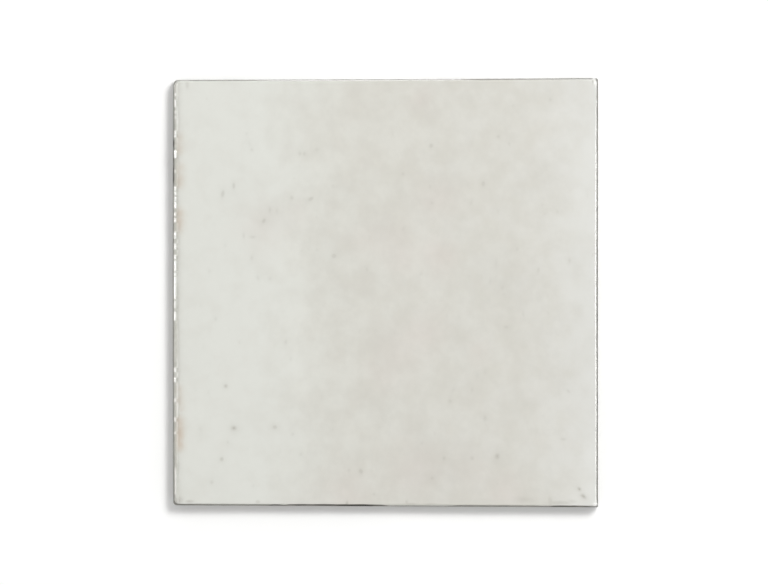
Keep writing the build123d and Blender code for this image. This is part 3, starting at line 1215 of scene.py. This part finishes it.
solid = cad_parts[NODE].data
search = BVHTree.FromPolygons(
    [vertex.co for vertex in solid.vertices], [tuple(polygon.vertices) for polygon in solid.polygons]
)
sample = range(0, len(mesh.vertices), EVERY)
distances = np.array([search.find_nearest(mesh.vertices[n].co)[3] for n in sample]) / MM
print(f"from the solid: middle {np.median(distances):.3f} mm, most {distances.max():.2f} mm")

# %% [markdown]
# ## Patterns and stains
#
# Two patterns come back in every finish of this tile. One is soft noise with lumps of a known size. The
# other is a stain, which lies wherever the mesh carries its mark.

# %% Two functions for the finishes
def lumps(tree, place, size_mm, detail, seed, start, end, low=0.0, high=1.0):
    """Soft noise with lumps of about a size, stretched so that start to end becomes low to high."""
    noise_inputs = {"Vector": place, "W": seed, "Scale": 1 / (size_mm * MM), "Detail": detail}
    field = add_node(tree, "ShaderNodeTexNoise", noise_inputs, noise_dimensions="4D")
    limits = {"Value": field, "From Min": start, "From Max": end, "To Min": low, "To Max": high}
    return add_node(tree, "ShaderNodeMapRange", limits, interpolation_type="SMOOTHSTEP")


def stained(tree, colour, mark, stain, strength=1.0, uneven=1.0):
    """A colour with a stain on it, wherever the mesh carries a mark. Uneven may be a node or a number."""
    amount = add_node(tree, "ShaderNodeAttribute", attribute_name=mark).outputs["Fac"]
    for share in (strength, uneven):
        amount = add_node(tree, "ShaderNodeMath", {0: amount, 1: share}, operation="MULTIPLY")
    mix = {SHARE: amount, FIRST: colour, SECOND: linear(stain)}
    return add_node(tree, "ShaderNodeMix", mix, data_type="RGBA").outputs[MIXED]


print(f"lumps of 1 mm take a noise scale of {1 / MM:.0f}, because Blender counts in metres")

# %% [markdown]
# ## The clay
#
# The body is fired clay, called bisque: matt, a little sandy, grey, with darker grains of grog. Both
# materials need its colour, because the glaze ends in an uneven line that shows the clay below it. The
# grains are about 0.7 mm wide. Where the clay is scorched, and as painted shade on the flank, it is
# painted nearly black.

# %% The colour of the clay
CLAY_GREY = "#979690"
CLAY_GROG = "#82817B"
# Nearly black, for scorched clay and for painted shade on the flank.
SCORCH_AND_SHADE_BLACK = "#262420"
GROG_MM = 0.7


def clay_colour(tree, place):
    """Grey fired clay with darker grog in it, painted nearly black where it is scorched and as painted
    shade.
    """
    grog = lumps(tree, place, GROG_MM, detail=4.0, seed=3.0, start=0.45, end=0.7)
    mix = {SHARE: grog, FIRST: linear(CLAY_GREY), SECOND: linear(CLAY_GROG)}
    clay = add_node(tree, "ShaderNodeMix", mix, data_type="RGBA").outputs[MIXED]
    return stained(tree, clay, "scorch_and_shade", SCORCH_AND_SHADE_BLACK)


print(f"the clay is {CLAY_GREY}, with grog of {CLAY_GROG}")

# %% [markdown]
# ## The white of the glaze
#
# The glaze isn't one white. Where it lies thin it is cool, and where it pooled it is a shade creamier,
# in soft patches half a centimetre to two centimetres wide. Large blotches and small flecks of noise
# break the patches up. The right side is a touch greyer than the left.

# %% The colour of the glaze
COOL_WHITE = "#DFE0D9"
PALE_WHITE = "#DCDCD7"
CREAM_WHITE = "#D3D1C8"
ROSY_CREAM = "#D7CFC8"
POOL_GREY = "#A7A59E"
ROSY_STRENGTH = 0.5
BLOTCH_MM = 7.0
FLECK_MM = 2.4
# The left white turns into the right one between these places across the tile.
PALE_FROM = -20 * MM
PALE_TO = 50 * MM
# How much the blotches add to the thickness, and how much they, the flecks and the spots to the shade.
BLOTCH_THICKNESS = 0.35
BLOTCH_SHADE = 0.2
FLECK_SHADE = 0.3
SPOT_SHADE = 0.8
# Thin glaze shows this share of the blotches and flecks, and from this thickness on it shows all.
THIN_SHOWS = 0.35
SHOWS_ALL = 0.6
# How much grey the darkest shade holds.
MOST_GREY = 0.3


def glaze_colour(tree, place):
    """White that turns creamier where the glaze is thick, with grey pools and faint rosy clouds."""
    across = add_node(tree, "ShaderNodeSeparateXYZ", {0: place}).outputs["X"]
    limits = {"Value": across, "From Min": PALE_FROM, "From Max": PALE_TO}
    to_the_right = add_node(tree, "ShaderNodeMapRange", limits, interpolation_type="SMOOTHSTEP")
    mix = {SHARE: to_the_right, FIRST: linear(COOL_WHITE), SECOND: linear(PALE_WHITE)}
    white = add_node(tree, "ShaderNodeMix", mix, data_type="RGBA").outputs[MIXED]

    blotch = lumps(tree, place, BLOTCH_MM, detail=5.0, seed=1.0, start=0.3, end=0.7, low=-0.5, high=0.5)
    fleck = lumps(tree, place, FLECK_MM, detail=3.0, seed=2.0, start=0.3, end=0.7, low=-0.5, high=0.5)
    pooled = add_node(tree, "ShaderNodeAttribute", attribute_name="pooled").outputs["Fac"]
    parts = {0: blotch, 1: BLOTCH_THICKNESS, 2: pooled}
    thick = add_node(tree, "ShaderNodeMath", parts, operation="MULTIPLY_ADD", use_clamp=True)
    mix = {SHARE: thick, FIRST: white, SECOND: linear(CREAM_WHITE)}
    colour = add_node(tree, "ShaderNodeMix", mix, data_type="RGBA").outputs[MIXED]
    colour = stained(tree, colour, "rosy", ROSY_CREAM, ROSY_STRENGTH)

    large = add_node(tree, "ShaderNodeMath", {0: blotch, 1: BLOTCH_SHADE}, operation="MULTIPLY")
    parts = {0: fleck, 1: FLECK_SHADE, 2: large}
    mottle = add_node(tree, "ShaderNodeMath", parts, operation="MULTIPLY_ADD")
    limits = {"Value": thick, "From Max": SHOWS_ALL, "To Min": THIN_SHOWS}
    where_thick = add_node(tree, "ShaderNodeMapRange", limits, interpolation_type="SMOOTHSTEP")
    mottle = add_node(tree, "ShaderNodeMath", {0: mottle, 1: where_thick}, operation="MULTIPLY")
    spots = add_node(tree, "ShaderNodeAttribute", attribute_name="shade").outputs["Fac"]
    parts = {0: spots, 1: SPOT_SHADE, 2: mottle}
    shade = add_node(tree, "ShaderNodeMath", parts, operation="MULTIPLY_ADD")
    limits = {"Value": shade, "From Min": -1.0, "From Max": 1.0, "To Max": MOST_GREY}
    greyed = add_node(tree, "ShaderNodeMapRange", limits, interpolation_type="SMOOTHSTEP")
    mix = {SHARE: greyed, FIRST: colour, SECOND: linear(POOL_GREY)}
    return add_node(tree, "ShaderNodeMix", mix, data_type="RGBA").outputs[MIXED]


print(f"the glaze goes from {COOL_WHITE} where it is thin to {CREAM_WHITE} where it pooled")

# %% [markdown]
# ## The glaze
#
# The glaze is an opaque white one: a glass that tiny zircon crystals turn milky. It is glossy, with the
# refractive index of glass, about 1.52. It was poured and fired, so it is smooth, with a faint orange
# peel, and it stays rough only in the gaps between the beads and in the pinholes. Stains, beads with
# their painted highlights, dust and pits are laid over the white one after another, as far as the mesh
# carries their marks. The orange peel is too shallow to be real geometry, so it is a bump of a
# hundredth of a millimetre. Below the edge of the glaze the clay takes over, with its own colour and
# roughness.

# %% Make the glaze
THIN_GREY = "#A5A398"
IRON_BROWN = "#BFA890"
# White for thick glaze, and for painted glints and a painted reflection.
GLAZE_AND_GLINT_WHITE = "#F7F7F3"
DUST_AND_PIT_GREY = "#8C877B"
# The mark of each stain, its colour and its strength, in the order in which they are laid on.
STAINS = [
    ("thin_glaze", THIN_GREY, 0.5),
    ("iron_stain", IRON_BROWN, 0.48),
    ("bare_gap", THIN_GREY, 0.6),
    # This stain is thick white glaze and painted highlights: glints and the roll's painted reflection.
    ("bead_and_glint", GLAZE_AND_GLINT_WHITE, 0.9),
    ("dust", DUST_AND_PIT_GREY, 0.12),
    # The bottom of each pit is painted darker with the same grey as the dust.
    ("pinhole", DUST_AND_PIT_GREY, 0.7),
]
UNEVEN_STAINS = ("thin_glaze", "iron_stain")
# How much rougher the glaze is where these marks are full.
ROUGHENED = {"bare_gap": 0.75, "pinhole": 0.5}
GLAZE_IOR = 1.52
GLAZE_ROUGHNESS = 0.1
CLAY_ROUGHNESS = 0.9
UNEVEN_MM = 3.0
PEEL_MM = 2.2
PEEL_DEPTH = 0.01 * MM


def make_glaze():
    """The opaque white glaze, with what thins, stains and pits it."""
    material, tree = new_material("OpaqueZirconGlaze")
    place = add_node(tree, "ShaderNodeTexCoord").outputs["Object"]
    uneven = lumps(tree, place, UNEVEN_MM, detail=3.0, seed=7.0, start=0.35, end=0.65, low=0.5)
    colour = glaze_colour(tree, place)
    for mark, stain, strength in STAINS:
        colour = stained(tree, colour, mark, stain, strength, uneven if mark in UNEVEN_STAINS else 1.0)

    above = add_node(tree, "ShaderNodeAttribute", attribute_name="above_glaze_edge").outputs["Fac"]
    limits = {"Value": above, "From Min": NO_GLAZE, "From Max": FULL_GLAZE}
    cover = add_node(tree, "ShaderNodeMapRange", limits, interpolation_type="SMOOTHSTEP")
    mix = {SHARE: cover, FIRST: clay_colour(tree, place), SECOND: colour}
    colour = add_node(tree, "ShaderNodeMix", mix, data_type="RGBA").outputs[MIXED]

    limits = {"Value": cover, "To Min": CLAY_ROUGHNESS, "To Max": GLAZE_ROUGHNESS}
    rough = add_node(tree, "ShaderNodeMapRange", limits, interpolation_type="SMOOTHSTEP")
    for mark, gain in ROUGHENED.items():
        amount = add_node(tree, "ShaderNodeAttribute", attribute_name=mark).outputs["Fac"]
        rough = add_node(tree, "ShaderNodeMath", {0: amount, 1: gain, 2: rough}, operation="MULTIPLY_ADD")
    rough = add_node(tree, "ShaderNodeMath", {0: rough, 1: CLAY_ROUGHNESS}, operation="MINIMUM")

    noise_inputs = {"Vector": place, "W": 4.0, "Scale": 1 / (PEEL_MM * MM), "Detail": 1.0}
    peel = add_node(tree, "ShaderNodeTexNoise", noise_inputs, noise_dimensions="4D")
    relief = {"Height": peel, "Strength": 1.0, "Distance": PEEL_DEPTH}
    bump = add_node(tree, "ShaderNodeBump", relief)
    finish = {"Base Color": colour, "Roughness": rough, "IOR": GLAZE_IOR, "Normal": bump}
    shader = add_node(tree, "ShaderNodeBsdfPrincipled", finish)
    add_node(tree, "ShaderNodeOutputMaterial", {"Surface": shader})
    return material


mesh.materials.append(make_glaze())
glaze = mesh.materials[GLAZED]
print(f"{glaze.name} has {len(glaze.node_tree.nodes)} nodes")

# %% [markdown]
# ## The bare clay
#
# The back and the lower flank were never glazed, so they wear the clay itself. Pale clouds about a
# centimetre wide lie over it, where salts dried on the surface. Its grains, about half a millimetre
# wide, are also a bump, which makes it look dry. Dry, porous clay hardly shines, even at a low angle,
# so the level of its reflections is turned far down.

# %% Make the bisque
CLAY_PALE = "#ABA9A1"
CLAY_IOR = 1.45
CLAY_GLOSS = 0.1
CLOUD_MM = 9.0
GRAIN_MM = 0.5
GRAIN_DEPTH = 0.1 * MM
GRAIN_STRENGTH = 0.6


def make_bisque():
    """Unglazed fired clay."""
    material, tree = new_material("GreyBisqueClay")
    place = add_node(tree, "ShaderNodeTexCoord").outputs["Object"]
    cloud = lumps(tree, place, CLOUD_MM, detail=3.0, seed=0.0, start=0.35, end=0.7, high=0.5)
    mix = {SHARE: cloud, FIRST: clay_colour(tree, place), SECOND: linear(CLAY_PALE)}
    colour = add_node(tree, "ShaderNodeMix", mix, data_type="RGBA").outputs[MIXED]

    noise_inputs = {"Vector": place, "W": 6.0, "Scale": 1 / (GRAIN_MM * MM), "Detail": 4.0}
    grain = add_node(tree, "ShaderNodeTexNoise", noise_inputs, noise_dimensions="4D")
    limits = {"Value": grain, "From Min": 0.3, "From Max": 0.7, "To Min": 0.8, "To Max": 0.95}
    rough = add_node(tree, "ShaderNodeMapRange", limits, interpolation_type="SMOOTHSTEP")
    relief = {"Height": grain, "Strength": GRAIN_STRENGTH, "Distance": GRAIN_DEPTH}
    bump = add_node(tree, "ShaderNodeBump", relief)
    finish = {"Base Color": colour, "Roughness": rough, "IOR": CLAY_IOR, "Normal": bump}
    finish["Specular IOR Level"] = CLAY_GLOSS
    shader = add_node(tree, "ShaderNodeBsdfPrincipled", finish)
    add_node(tree, "ShaderNodeOutputMaterial", {"Surface": shader})
    return material


mesh.materials.append(make_bisque())
bisque = mesh.materials[BARE]
print(f"{bisque.name} has {len(bisque.node_tree.nodes)} nodes")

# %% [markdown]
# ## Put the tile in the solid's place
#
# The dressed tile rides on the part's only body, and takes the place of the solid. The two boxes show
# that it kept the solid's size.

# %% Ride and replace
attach(glazed_tile, "root")
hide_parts(NODE)
boxes = {"cad": cad_box, "visual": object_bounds()}
for name, box in boxes.items():
    print(name, [round((b - a) / MM, 3) for a, b in zip(*box)], "mm")
